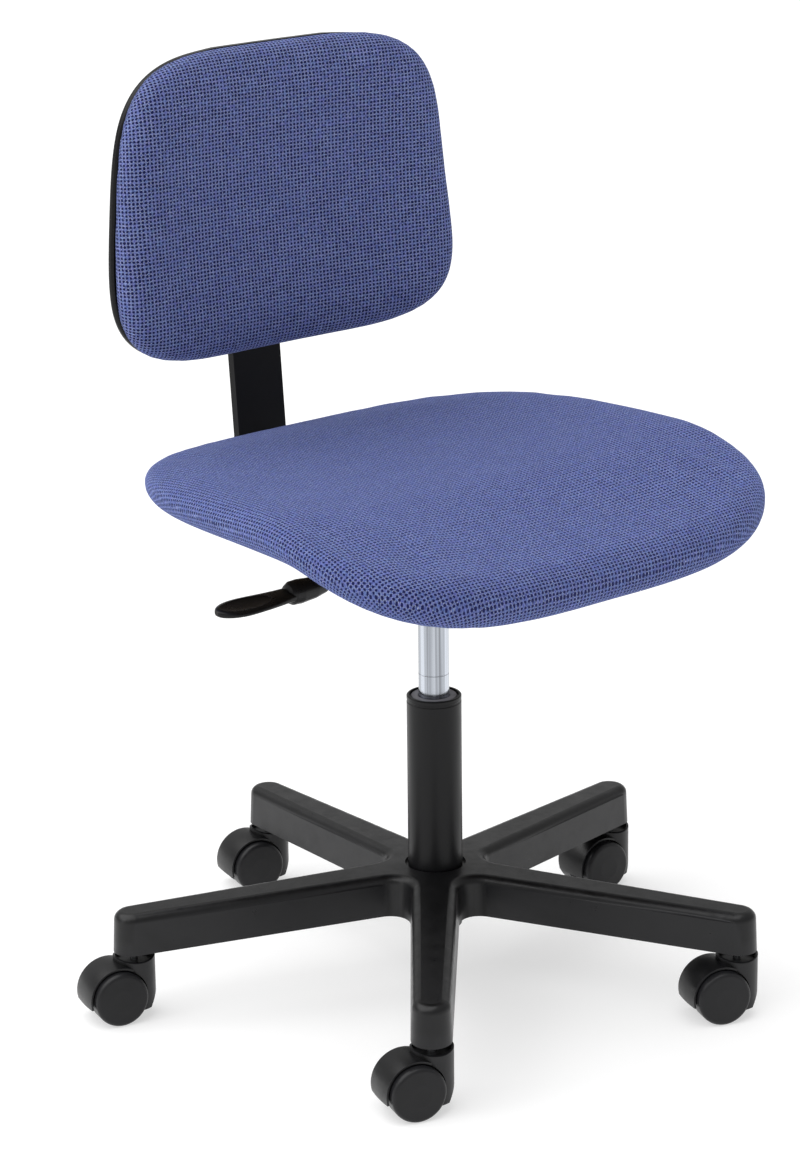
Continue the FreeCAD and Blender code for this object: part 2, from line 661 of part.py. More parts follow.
def caster_hood():
    """Hood in its own frame: stem on Z, trailing towards +X, axle along Y."""
    axle = Vector(value("trail"), 0, value("wheel_radius"))
    across = Vector(0, 1, 0)
    half = value("hood_half")
    web = value("web_half")
    radius = value("hood_radius")
    collar_radius = value("collar_radius")
    top = value("collar_top")
    far = 80

    def drum(radius, low, high):
        return Part.makeCylinder(radius, high - low, axle + across * low, across)

    # Crowned fender: an arc across its width, turned about the axle.
    ends = [axle + Vector(radius, side * half, 0) for side in (-1, 1)]
    crown = Part.Arc(ends[0], axle + Vector(radius + value("hood_crown"), 0, 0), ends[1]).toShape()
    closing = Part.makePolygon([ends[1], axle + across * half, axle - across * half, ends[0]])
    fender = Part.Face(Part.Wire([crown] + closing.Edges)).revolve(axle, across, 360)
    body = fender.fuse(cylinder(collar_radius, 0, top))
    # The collar's rim dips towards both wheels.
    saddle = value("collar_saddle")
    body = body.common(Part.makeCylinder(saddle, far * 2, Vector(-far, 0, top - saddle), Vector(1, 0, 0)))
    for side in (-1, 1):
        low, high = sorted((side * web, side * (half + MARGIN)))
        body = body.cut(drum(value("hood_inner"), low, high))
    # The lower edge runs from the collar's leading side under the axle to the trailing end of the fender.
    tail = around(1, -value("hood_tail"))
    tail_inner = axle + Vector(tail.x, 0, tail.y) * value("wheel_radius")
    tail_outer = axle + Vector(tail.x, 0, tail.y) * far
    foot = value("collar_foot")
    lower_edge = [
        Vector(-far, 0, foot),
        Vector(-collar_radius - CLOSE, 0, foot),
        Vector(value("skirt_fore"), 0, value("skirt_fore_z")),
        Vector(value("skirt_aft"), 0, value("skirt_aft_z")),
        tail_inner,
        tail_outer,
        Vector(far * 2, 0, far),
        Vector(-far, 0, far),
    ]
    keep = Part.Face(Part.makePolygon([corner - across * far for corner in lower_edge + lower_edge[:1]]))
    body = body.common(keep.extrude(across * far * 2))
    recess_radius = collar_radius - value("collar_wall")
    body = body.cut(cylinder(recess_radius, top - value("collar_recess"), top + MARGIN))
    body = body.cut(cylinder(value("stem_pin + run_fit"), value("stem_foot - gap"), far))
    body = body.fuse(drum(value("axle_boss"), -web, web))
    body = body.cut(drum(value("axle_radius"), -half, half))
    return body.removeSplitter()


# Round shoulder between the tread and the slightly domed outer face of a wheel.
WHEEL_SHOULDER = [
    (f"wheel_radius - wheel_round * (1 - cos({degrees}))",
     f"wheel_outer - wheel_dome - wheel_round * (1 - sin({degrees}))")
    for degrees in range(0, 91, 15)
]
hood_shape = caster_hood()
for k in range(1, int(value("arm_count")) + 1):
    turn = Rotation(UP, value(f"trail_{k}"))
    stem_x, stem_y = stem_place(k - 1)
    shaped(f"caster_{k}_hood", hood_shape.copy(), (stem_x, stem_y, 0), turn)
    wheel_at = (f"{stem_x} + trail * cos(trail_{k})", f"{stem_y} + trail * sin(trail_{k})", "wheel_radius")
    lay_over = turn.multiply(Rotation(Vector(1, 0, 0), 90))
    turned(f"caster_{k}_axle", [
        (0, "-axle_half"),
        ("axle_radius - 0.5", "-axle_half"),
        ("axle_radius", "0.5 - axle_half"),
        ("axle_radius", "axle_half - 0.5"),
        ("axle_radius - 0.5", "axle_half"),
        (0, "axle_half"),
    ], wheel_at, lay_over)
    for side, flip in (("right", 0), ("left", 180)):
        facing = lay_over.multiply(Rotation(Vector(1, 0, 0), flip))
        turned(f"caster_{k}_wheel_{side}", [
            ("axle_radius + run_fit", "wheel_inner"),
            ("wheel_boss", "wheel_inner"),
            ("wheel_boss + wheel_draft", "wheel_outer - wheel_face"),
            ("wheel_radius - wheel_tread - wheel_draft", "wheel_outer - wheel_face"),
            ("wheel_radius - wheel_tread", "wheel_inner"),
            ("wheel_radius - wheel_edge", "wheel_inner"),
            ("wheel_radius", "wheel_inner + wheel_edge"),
            *WHEEL_SHOULDER,
            ("wheel_flat", "wheel_outer"),
            (0, "wheel_outer"),
            (0, "axle_half + gap"),
            ("axle_radius + run_fit", "axle_half + gap"),
        ], wheel_at, facing)


# ---------------------------------------------------------------- seat mechanism

turned("taper_socket", [
    ("cyl_radius - taper_drop * (socket_bottom - taper_start) / (cyl_top - taper_start)", "socket_bottom"),
    ("socket_radius - 2", "socket_bottom"),
    ("socket_radius", "socket_bottom + 3"),
    ("socket_radius", "socket_top"),
    ("cyl_radius - taper_drop * (socket_top - taper_start) / (cyl_top - taper_start)", "socket_top"),
])

plate = solid("Box", "plate_blank", ("-plate_half", "plate_front", "plate_top - plate_thick"),
              Length="plate_half * 2", Width="plate_rear - plate_front", Height="plate_thick")
rounded_plate = doc.addObject("Part::Fillet", "plate_rounded")
rounded_plate.Base = plate
doc.recompute()
rounded_plate.Edges = [
    (i, value("plate_corner"), value("plate_corner")) for i, edge in enumerate(plate.Shape.Edges, 1)
    if abs(edge.Length - value("plate_thick")) < CLOSE
]
BOLTS = [(sx, sy) for sx in (-1, 1) for sy in (-1, 1)]
holes = [
    solid("Cylinder", f"plate_hole_{i}", (f"{sx} * bolt_x", f"{sy} * bolt_y", "plate_top - plate_thick - 5"),
          Radius="bolt_radius + gap", Height="plate_thick + 10")
    for i, (sx, sy) in enumerate(BOLTS)
]
part(joined("Cut", "mechanism_plate", rounded_plate, *holes), "mechanism_plate")

STEP_FRONT = "clamp_y - 60"
STEP_REAR = "clamp_y - 45"
housing, housing_pad = padded("housing_shell", "YZ_Plane", [
    ("housing_front", "plate_top - plate_thick"),
    ("housing_front", "housing_low"),
    (STEP_FRONT, "housing_low"),
    (STEP_REAR, "channel_low"),
    ("plate_rear - 3", "channel_low"),
    ("plate_rear - 3", "plate_top - plate_thick"),
], "housing_half * 2")
hollow = housing.newObject("PartDesign::Pocket", "housing_hollow")
hollow.Profile = outline(housing, "YZ_Plane", [
    ("housing_front + housing_wall", "plate_top"),
    ("housing_front + housing_wall", "housing_low + housing_wall"),
    (STEP_FRONT, "housing_low + housing_wall"),
    (STEP_REAR, "channel_low + housing_wall"),
    ("plate_rear + 5", "channel_low + housing_wall"),
    ("plate_rear + 5", "plate_top"),
])
hollow.Midplane = True
bind(hollow, Length="(housing_half - housing_wall) * 2")
housing.Tip = hollow
lugs = [
    solid("Box", f"pivot_lug_{i}", ("-housing_half + housing_wall", low, "lever_height - lug_high / 2"),
          Length="lug_long", Width="lug_thick", Height="lug_high")
    for i, low in enumerate(("lug_gap", "-lug_gap - lug_thick"))
]
socket_hole = solid("Cylinder", "socket_hole", (0, 0, "housing_low - 5"), Radius="socket_radius", Height="20")
rod_slot = solid("Cylinder", "rod_slot", ("-housing_half - 5", 0, "lever_height"),
                 Rotation(Vector(0, 1, 0), 90), Radius="lever_radius + 2", Height="housing_wall + 10")
screw_hole = solid("Cylinder", "screw_hole", (0, "clamp_y", "channel_low - 5"),
                   Radius="screw_radius + 0.5", Height="housing_wall + 10")
pivot_hole = solid("Cylinder", "pivot_hole", ("lever_pivot_x", "-pivot_length", "lever_height"),
                   Rotation(Vector(1, 0, 0), -90), Radius="pivot_radius", Height="pivot_length * 2")
housing_body = joined("Fuse", "housing_lugged", housing, *lugs)
part(joined("Cut", "mechanism_housing", housing_body, socket_hole, rod_slot, screw_hole, pivot_hole),
     "mechanism_housing")
part(solid("Cylinder", "lever_pivot_pin", Radius="pivot_radius", Height="pivot_length"), "lever_pivot_pin",
     ("lever_pivot_x", "-pivot_length / 2", "lever_height"), Rotation(Vector(1, 0, 0), -90))


def hex_prism(name, across_flats, height, at, hole):
    """Hexagonal nut blank with a round hole, both bound to the sheet."""
    prism = solid("Prism", name + "_hex", at, Circumradius=f"({across_flats}) / sqrt(3)", Height=height)
    prism.Polygon = 6
    bore = solid("Cylinder", name + "_bore", (at[0], at[1], f"{at[2]} - 1"),
                 Radius=hole, Height=f"{height} + 2")
    return joined("Cut", name, prism, bore)


nut_at = ("0", "clamp_y", "channel_low + housing_wall")
part(hex_prism("clamp_nut", "nut_across", "nut_height", nut_at, "screw_radius + run_fit"), "clamp_nut")

bolt_links = []
nut_links = []
for i, (sx, sy) in enumerate(BOLTS):
    at_x = f"{sx} * bolt_x"
    at_y = f"{sy} * bolt_y"
    head = solid("Prism", f"bolt_head_{i}", (at_x, at_y, "plate_top - plate_thick - bolt_head"),
                 Circumradius="bolt_across / sqrt(3)", Height="bolt_head")
    head.Polygon = 6
    shank = solid("Cylinder", f"bolt_shank_{i}", (at_x, at_y, "plate_top - plate_thick - 1"),
                  Radius="bolt_radius", Height="plate_thick + tee_depth + 1.5")
    bolt_links.append(joined("Fuse", f"bolt_{i}", head, shank))
    barrel = solid("Cylinder", f"tee_barrel_{i}", (at_x, at_y, "plate_top + 0.5"),
                   Radius="tee_radius", Height="tee_depth")
    flange = solid("Cylinder", f"tee_flange_{i}", (at_x, at_y, "plate_top + tee_depth"),
                   Radius="tee_flange", Height="tee_thick")
    thread = solid("Cylinder", f"tee_thread_{i}", (at_x, at_y, "plate_top"),
                   Radius="bolt_radius", Height="tee_depth + 5")
    nut_links.append(joined("Cut", f"tee_{i}", joined("Fuse", f"tee_body_{i}", barrel, flange), thread))
for name, links in (("seat_bolts", bolt_links), ("tee_nuts", nut_links)):
    group = doc.addObject("Part::Compound", name)
    group.Links = links
    part(group, name)


# ---------------------------------------------------------------- soft forms

# Points of a cross-section's face, from side to side.
STEPS = (-1, -0.62, -0.3, 0, 0.3, 0.62, 1)


def section(half, round_in, low, high, put):
    """Closed cross-section between the faces low(x) and high(x), with rounded sides unless round_in is 0."""
    flat = half - round_in
    faces = []
    for face, steps in ((low, STEPS), (high, STEPS[::-1])):
        curve = Part.BSplineCurve()
        curve.interpolate([put(flat * step, face(flat * step)) for step in steps])
        faces.append(curve)
    edges = []
    for side, curve, following in ((1, faces[0], faces[1]), (-1, faces[1], faces[0])):
        edges.append(curve.toShape())
        if round_in:
            middle = put(half * side, (low(flat * side) + high(flat * side)) / 2)
            edges.append(Part.Arc(curve.EndPoint, middle, following.StartPoint).toShape())
        else:
            edges.append(Part.LineSegment(curve.EndPoint, following.StartPoint).toShape())
    return Part.Wire(edges)


# Stations from one end of a form to the other, closer together where its outline turns in.
STATIONS = (-0.995, -0.96, -0.87, -0.7, -0.48, -0.24, 0, 0.24, 0.48, 0.7, 0.87, 0.96, 0.995)


def seat_form(inset, low_offset, high_offset, rounding, from_low):
    """Seat-shaped solid: outline moved in by inset, faces offset from the cushion's own faces."""
    half_y = value("seat_half_y") - inset
    wires = []
    for t in STATIONS:
        power = value("seat_rear_power") if t > 0 else value("seat_front_power")
        half = (value("seat_half_x") - inset) * (1 - abs(t) ** power) ** (1 / power)
        half *= 1 + value("seat_narrow") * t
        y = half_y * t
        start = value("seat_drop_start")
        front = max(0, (-y - start) / (value("seat_half_y") - start))
        shrink = (1 - abs(t) ** value("seat_end_power")) ** 0.5

        def lift(x):
            side = max(0, abs(x) - value("seat_flat")) / (value("seat_half_x") - value("seat_flat"))
            return value("seat_lift") * side ** 1.5

        def low_face(x):
            return value("seat_low") - value("seat_drop_low") * front + lift(x)

        def high_face(x):
            return value("seat_top") - value("seat_drop_top") * front + lift(x)

        def low(x):
            return low_face(x) + low_offset

        def high(x):
            top = low_face(x) if from_low else high_face(x)
            full = top + high_offset
            return low(x) + (full - low(x)) * (1 if from_low else shrink)

        def put(x, level):
            return Vector(x, value("seat_mid_y") + y, level)

        wires.append(section(half, min(rounding, half * 0.4), low, high, put))
    return Part.makeLoft(wires, True, False)


# The board lies in a recess of the cushion, and the plate in a flat milled into the board.
board = seat_form(value("board_inset"), 0, value("board_thick"), 0, True)
recess = seat_form(value("board_inset"), -value("board_thick"), value("board_thick"), 0, True)
shaped("seat_cushion", seat_form(0, 0, 0, value("seat_round"), False).cut(recess).cut(board))

plate_room = 1
plate_seat = Part.makeBox((value("plate_half") + plate_room) * 2,
                          value("plate_rear - plate_front") + plate_room * 2,
                          2 * MARGIN,
                          Vector(-value("plate_half") - plate_room,
                                 value("plate_front") - plate_room,
                                 value("plate_top") - 2 * MARGIN))
board = board.cut(plate_seat)
for sx, sy in BOLTS:
    spot = (sx * value("bolt_x"), sy * value("bolt_y"))
    board = board.cut(cylinder(value("tee_radius"), value("plate_top - 5"), value("seat_top"), spot))
    board = board.cut(cylinder(value("tee_flange"), value("plate_top + tee_depth"), value("seat_top"), spot))
shaped("seat_board", board)


# ---------------------------------------------------------------- lever

ROD_START = "lever_pivot_x + rod_past_pivot"
ROD_LENGTH = "lever_pivot_x + rod_past_pivot - handle_start + rod_in_handle"
rod = solid("Cylinder", "lever_rod_blank", (ROD_START, 0, "lever_height"), Rotation(Vector(0, 1, 0), -90),
            Radius="lever_radius", Height=ROD_LENGTH)
rod_hole = solid("Cylinder", "lever_rod_hole", ("lever_pivot_x", "-lever_radius * 2", "lever_height"),
                 Rotation(Vector(1, 0, 0), -90), Radius="pivot_radius + run_fit", Height="lever_radius * 4")
part(joined("Cut", "lever_rod", rod, rod_hole), "lever_rod")

# Sleeve of the handle: distance from its inner end, radius.
SLEEVE = ((0, 5.5), (1.5, 7), (14, 9.6), (30, 11), (38, 10.6), (42, 8.5), (43, 5))
# Paddle: distance from the inner end, half width, half thickness as a share of the paddle's.
PADDLE = ((10, 7, 1.5), (28, 8.5, 1.5), (42, 10, 1.3), (60, 12.4, 1.1), (80, 14.6, 1), (96, 15, 1),
          (110, 11.6, 1), (117, 6.6, 0.9), (120, 2.2, 0.5))


def oval(x, centre_z, half_width, half_thick, tilt):
    """Squarish oval across the X axis, tilted about it."""
    ring = []
    count = 16
    squareness = 0.8
    for k in range(count):
        angle = 2 * math.pi * k / count
        across = math.copysign(abs(math.cos(angle)) ** squareness, math.cos(angle)) * half_width
        level = math.copysign(abs(math.sin(angle)) ** squareness, math.sin(angle)) * half_thick
        ring.append(Vector(x, 0, centre_z) + tilt.multVec(Vector(0, across, level)))
    curve = Part.BSplineCurve()
    curve.interpolate(ring, PeriodicFlag=True)
    return Part.Wire([curve.toShape()])


def lever_handle():
    """Sleeve on the rod with a flat oval paddle that leans towards the front and is dished on top."""
    start = value("handle_start")
    rod_axis = Vector(start, 0, value("lever_height"))
    outward = Vector(-1, 0, 0)
    tilt = Rotation(Vector(1, 0, 0), value("paddle_tilt"))
    length = value("handle_start - handle_end")
    wires = []
    for distance, half_width, share in PADDLE:
        settled = min(1, distance / (length / 2))
        centre_z = value("lever_height") + (value("paddle_z - lever_height")) * settled
        wires.append(oval(start - distance, centre_z, half_width, value("paddle_thick / 2") * share, tilt))
    paddle = Part.makeLoft(wires, True, False)
    corners = [Vector(start, 0, rod_axis.z)]
    corners += [Vector(start - distance, 0, rod_axis.z + radius) for distance, radius in SLEEVE]
    corners += [Vector(start - SLEEVE[-1][0], 0, rod_axis.z), corners[0]]
    sleeve = Part.Face(Part.makePolygon(corners)).revolve(rod_axis, outward, 360)
    dish = doc.addObject("Part::Ellipsoid", "paddle_dish")
    bind(dish, Radius1="dish_depth", Radius2="dish_long", Radius3="dish_half")
    doc.recompute()
    dish_at = Vector(start - value("dish_place"), 0, value("paddle_z"))
    dish_at += tilt.multVec(Vector(0, 0, value("paddle_thick / 2")))
    hollow = moved(dish.Shape, dish_at, tilt)
    doc.removeObject("paddle_dish")
    handle = paddle.fuse(sleeve).cut(hollow)
    bore = Part.makeCylinder(value("lever_radius"), value("rod_in_handle") + 1, rod_axis - outward, outward)
    return handle.cut(bore)


shaped("lever_handle", lever_handle())


# ---------------------------------------------------------------- back bar and its clamp

BAR_TOP = "plate_top - plate_thick - bar_top_gap"
BAR_LOW = "plate_top - plate_thick - bar_top_gap - bar_thick"
bar, bar_pad = padded("back_bar", "YZ_Plane", [
    ("bar_front", BAR_LOW),
    (f"bar_face_y + bar_thick / cos(bar_lean) + ({BAR_LOW} - bar_face_z) * tan(bar_lean)", BAR_LOW),
    ("bar_face_y + bar_length * sin(bar_lean) + bar_thick * cos(bar_lean)",
     "bar_face_z + bar_length * cos(bar_lean) - bar_thick * sin(bar_lean)"),
    ("bar_face_y + bar_length * sin(bar_lean)", "bar_face_z + bar_length * cos(bar_lean)"),
    (f"bar_face_y + ({BAR_TOP} - bar_face_z) * tan(bar_lean)", BAR_TOP),
    ("bar_front", BAR_TOP),
], "bar_half * 2")
doc.recompute()


def bend_edges(shape, level):
    """Names of the rearmost edges across the bar at one height, where the bar turns up."""
    names = []
    for i, edge in enumerate(shape.Edges, 1):
        centre = edge.CenterOfMass
        crosses = abs(edge.Length - value("bar_half") * 2) < CLOSE
        if crosses and abs(centre.z - level) < CLOSE and centre.y > value("bar_face_y") - value("bar_thick"):
            names.append(f"Edge{i}")
    return names


inner_bend = bar.newObject("PartDesign::Fillet", "bar_inner_bend")
inner_bend.Base = (bar_pad, bend_edges(bar_pad.Shape, value(BAR_TOP)))
bind(inner_bend, Radius="bar_bend")
doc.recompute()
outer_bend = bar.newObject("PartDesign::Fillet", "bar_outer_bend")
outer_bend.Base = (inner_bend, bend_edges(inner_bend.Shape, value(BAR_LOW)))
bind(outer_bend, Radius="bar_bend + bar_thick")
bar.Tip = outer_bend
part(bar, "back_bar")


def knob_shape():
    """Lobed hand knob along +Z, with a boss and a blind bore for its screw."""
    depth = value("knob_depth")
    lobe_radius = value("lobe_radius")
    core = Part.makeCylinder(value("knob_core"), depth)
    for k in spaced(value("knob_lobes")):
        lobe = around(value("knob_radius") - lobe_radius, 360 / value("knob_lobes") * k)
        core = core.fuse(Part.makeCylinder(lobe_radius, depth, lobe))
    core = core.removeSplitter()
    ends = [edge for edge in core.Edges if edge.BoundBox.ZLength < CLOSE]
    core = core.makeFillet(value("knob_edge"), ends)
    core = core.fuse(Part.makeCylinder(value("knob_boss"), depth + value("knob_boss_z")))
    bore = Part.makeCylinder(value("screw_radius"), depth, Vector(0, 0, value("knob_blind")))
    return core.cut(bore).removeSplitter()


DEPTH_KNOB_LOW = "channel_low - knob_hang"
shaped("depth_knob", knob_shape(), (0, "clamp_y", DEPTH_KNOB_LOW))
turned("depth_screw", [
    (0, DEPTH_KNOB_LOW + " + knob_blind"),
    ("screw_radius", DEPTH_KNOB_LOW + " + knob_blind"),
    ("screw_radius", BAR_LOW + " - gap - 1"),
    ("screw_radius - 1", BAR_LOW + " - gap"),
    (0, BAR_LOW + " - gap"),
], (0, "clamp_y", 0))


# ---------------------------------------------------------------- backrest

LEAN = Rotation(Vector(1, 0, 0), -value("bar_lean"))
BAR_ORIGIN = Vector(0, value("bar_face_y"), value("bar_face_z"))


def in_bar_frame(shape):
    """Moves a shape drawn with Z along the upright and Y through its thickness to its place."""
    return moved(shape, BAR_ORIGIN, LEAN)


def back_form(inset, front, rear, rounding, crown):
    """Backrest-shaped solid between two offsets from the backrest's curved middle surface."""
    centre = Vector(0, value("back_y"), value("back_z"))
    tilt = Placement(centre, Rotation(Vector(1, 0, 0), -value("back_tilt")))
    half_z = value("back_half_z") - inset
    wires = []
    for t in STATIONS:
        mean = value("(back_half_low + back_half_high) / 2") - inset
        change = value("(back_half_high - back_half_low) / 2")
        half = (mean + change * t) * (1 - abs(t) ** value("back_power")) ** (1 / value("back_power"))
        shrink = (1 - abs(t) ** value("back_end_power")) ** 0.5

        def middle(x):
            return -value("back_curve") * (x / 200) ** 2 - value("back_bulge") * t * t

        def low(x):
            """Only a face in front of the middle surface thins out towards the ends."""
            return middle(x) + (front * shrink if front < 0 else front)

        def high(x):
            return middle(x) + rear + crown * max(0, 1 - (x / mean) ** 2) * (1 - t * t)

        def put(x, level):
            return tilt.multVec(Vector(x, level, half_z * t))

        wires.append(section(half, rounding, low, high, put))
    return Part.makeLoft(wires, True, False)


# The board lies in a recess in the back of the cushion, inside the shell.
board_front = value("back_rim - back_board_thick")
board_inset = value("back_board_inset")
cushion_rear = value("back_rim - gap")
back_board = back_form(board_inset, board_front, cushion_rear, 0, 0)
back_recess = back_form(board_inset, board_front, value("back_rim + back_board_thick"), 0, 0)
back_pad = back_form(value("back_inset"), value("back_front"), cushion_rear, value("back_round"), 0)
shell = back_form(0, value("back_rim"), value("back_rear"), value("shell_round"), value("back_crown"))
shaped("back_cushion", back_pad.cut(back_recess).cut(back_board).cut(shell))
shaped("back_board", back_board)

shell_hollow = back_form(value("shell_wall"), value("back_rim") - 4, value("back_rear - shell_wall"),
                         value("hollow_round"), value("back_crown"))
shell = shell.cut(shell_hollow)
ALONG_Y = Vector(0, 1, 0)
boss = Part.makeBox(value("bracket_half") * 2, value("boss_depth"), value("bracket_high - bracket_low"),
                    Vector(-value("bracket_half"), value("bracket_front - boss_depth"), value("bracket_low")))
shell = shell.fuse(in_bar_frame(boss))
SCREWS = [
    (side * value("shell_screw_x"), along)
    for side in (-1, 1)
    for along in (value("bracket_low + shell_screw_in"), value("bracket_high - shell_screw_in"))
]
SCREW_TIP = value("bracket_front - boss_depth") + 1


def screw_bore(across, along, start, end):
    """Straight hole or shank of one bracket screw, between two depths from the bar's face."""
    return Part.makeCylinder(value("shell_screw"), end - start, Vector(across, start, along), ALONG_Y)


for across, along in SCREWS:
    shell = shell.cut(in_bar_frame(screw_bore(across, along, SCREW_TIP, value("bracket_front") + MARGIN)))
shaped("back_shell", shell.removeSplitter())


def back_bracket():
    """Moulded block on the shell's boss, with the slot that the upright runs in."""
    half = value("bracket_half")
    front = value("bracket_front")
    rear = value("bracket_rear")
    low = value("bracket_low")
    high = value("bracket_high")
    block = Part.makeBox(half * 2, rear - front, high - low, Vector(-half, front, low))
    rear_edges = [edge for edge in block.Edges if abs(edge.CenterOfMass.y - rear) < CLOSE]
    block = block.makeFillet(value("bracket_edge"), rear_edges)
    slot_half = value("bar_half + gap")
    slot = Part.makeBox(slot_half * 2, value("bar_thick + gap * 2"), high - low + MARGIN * 2,
                        Vector(-slot_half, -value("gap"), low - MARGIN))
    block = block.cut(slot)
    screw_start = Vector(0, value("bar_thick"), (low + high) / 2)
    block = block.cut(Part.makeCylinder(value("screw_radius + run_fit"), rear, screw_start, ALONG_Y))
    for across, along in SCREWS:
        block = block.cut(screw_bore(across, along, front - MARGIN, rear + MARGIN))
    return in_bar_frame(block)


shaped("back_bracket", back_bracket())


def back_screw(across, along):
    """Round-headed screw from the bracket's rear face into the shell's boss."""
    rear = value("bracket_rear")
    height = value("screw_head_z")
    head = Part.makeCylinder(value("screw_head"), height, Vector(across, rear, along), ALONG_Y)
    rim = [edge for edge in head.Edges if abs(edge.CenterOfMass.y - rear - height) < CLOSE]
    head = head.makeFillet(value("screw_head_edge"), rim)
    return in_bar_frame(screw_bore(across, along, SCREW_TIP, rear).fuse(head).removeSplitter())


shaped("back_screws", Part.makeCompound([back_screw(across, along) for across, along in SCREWS]))

centre_along = value("(bracket_low + bracket_high) / 2")
knob_back = value("bracket_rear + knob_standoff + knob_depth")
knob_turn = Rotation(Vector(1, 0, 0), 90)
shaped("height_knob", in_bar_frame(moved(knob_shape(), Vector(0, knob_back, centre_along), knob_turn)))
screw_start = value("bar_thick + gap")
height_screw = Part.makeCylinder(value("screw_radius"), knob_back - value("knob_blind") - screw_start,
                                 Vector(0, screw_start, centre_along), ALONG_Y)
shaped("height_screw", in_bar_frame(height_screw))

cap_inset = value("cap_inset")
cap_start = Vector(cap_inset - value("bar_half"), cap_inset / 2, value("bar_length"))
cap_width = (value("bar_half") - cap_inset) * 2
cap_blank = Part.makeBox(cap_width, value("bar_thick") - cap_inset, value("cap_thick"), cap_start)
cap_top = value("bar_length + cap_thick")
cap_edges = [edge for edge in cap_blank.Edges if abs(edge.CenterOfMass.z - cap_top) < CLOSE]
shaped("bar_end_cap", in_bar_frame(cap_blank.makeFillet(value("cap_edge"), cap_edges)))


# ---------------------------------------------------------------- check and write

doc.recompute()
for item in doc.Objects:
    if "Invalid" in item.State or "Error" in item.State:
        raise RuntimeError(f"{item.Label} did not compute: {item.State}")
os.makedirs("parts", exist_ok=True)
for item in PARTS:
    if item.Shape.isNull() or not item.Shape.isValid():
        raise RuntimeError(f"{item.Label} has no valid shape")
    item.Shape.exportStep(f"parts/{item.Label}.step")
    box = item.Shape.BoundBox
    print(f"{item.Label:24s} {len(item.Shape.Solids):3d} solids {item.Shape.Volume:12.0f} mm3 "
          f"{box.XLength:.1f} x {box.YLength:.1f} x {box.ZLength:.1f}")
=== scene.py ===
import json
import math

import bpy
import numpy as np
from mathutils import Matrix, Vector
from mathutils.bvhtree import BVHTree


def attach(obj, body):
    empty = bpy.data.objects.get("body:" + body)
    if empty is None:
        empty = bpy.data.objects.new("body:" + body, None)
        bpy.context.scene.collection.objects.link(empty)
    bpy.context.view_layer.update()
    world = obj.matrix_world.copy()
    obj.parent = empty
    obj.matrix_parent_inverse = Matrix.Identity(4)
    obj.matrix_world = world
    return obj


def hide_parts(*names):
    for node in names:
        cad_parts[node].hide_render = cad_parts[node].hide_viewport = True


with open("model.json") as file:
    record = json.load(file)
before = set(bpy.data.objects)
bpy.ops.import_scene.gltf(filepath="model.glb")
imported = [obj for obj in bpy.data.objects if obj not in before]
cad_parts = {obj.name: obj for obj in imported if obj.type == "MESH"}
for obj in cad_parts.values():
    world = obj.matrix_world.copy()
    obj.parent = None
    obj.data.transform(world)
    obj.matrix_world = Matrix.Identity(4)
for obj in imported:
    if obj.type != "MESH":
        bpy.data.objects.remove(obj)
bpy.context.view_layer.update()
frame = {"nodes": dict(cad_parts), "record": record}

# All lengths are in metres.  +Z is up, the chair faces -Y, the sitter's right is -X.

# ---------------------------------------------------------------- materials


class Shader:
    """One node material; wire() adds a node and links or sets its inputs by name or number."""

    def __init__(self, name, **principled):
        self.material = bpy.data.materials.new(name)
        self.material.use_nodes = True
        self.tree = self.material.node_tree
        self.surface = self.tree.nodes["Principled BSDF"]
        for key, value in principled.items():
            self.surface.inputs[key.replace("_", " ")].default_value = value

    def wire(self, kind, output=0, settings=None, **inputs):
        node = self.tree.nodes.new("ShaderNode" + kind)
        for key, value in (settings or {}).items():
            setattr(node, key, value)
        for key, value in inputs.items():
            numbered = key[0] == "i" and key[1:].isdigit()
            self.join(value, node.inputs[int(key[1:]) if numbered else key.replace("_", " ")])
        return node.outputs[output]

    def join(self, value, socket):
        if isinstance(value, bpy.types.NodeSocket):
            self.tree.links.new(value, socket)
        else:
            socket.default_value = value

    def math(self, operation, *values, clamp=False):
        inputs = {f"i{i}": value for i, value in enumerate(values)}
        return self.wire("Math", settings={"operation": operation, "use_clamp": clamp}, **inputs)

    def mix(self, factor, first, second, blend="MIX"):
        node = self.tree.nodes.new("ShaderNodeMix")
        node.data_type = "RGBA"
        node.blend_type = blend
        self.join(factor, node.inputs["Factor"])
        self.join(first, node.inputs["A"])
        self.join(second, node.inputs["B"])
        return node.outputs["Result"]

    def ramp(self, value, low, high, to_low=0.0, to_high=1.0):
        return self.wire("MapRange", Value=value, From_Min=low, From_Max=high,
                         To_Min=to_low, To_Max=to_high)

    def noise(self, scale, detail=2.0, roughness=0.5, vector=None):
        place = vector or self.wire("TexCoord", output=3)
        return self.wire("TexNoise", Vector=place, Scale=scale, Detail=detail, Roughness=roughness)

    def bump(self, height, distance, strength=1.0, under=None):
        inputs = {"Height": height, "Distance": distance, "Strength": strength}
        if under is not None:
            inputs["Normal"] = under
        return self.wire("Bump", **inputs)

    def finish(self, colour=None, roughness=None, normal=None):
        for value, name in ((colour, "Base Color"), (roughness, "Roughness"), (normal, "Normal")):
            if value is not None:
                self.join(value, self.surface.inputs[name])
        return self.material


def grey(level, blue=1.0):
    return (level, level, level * blue, 1.0)


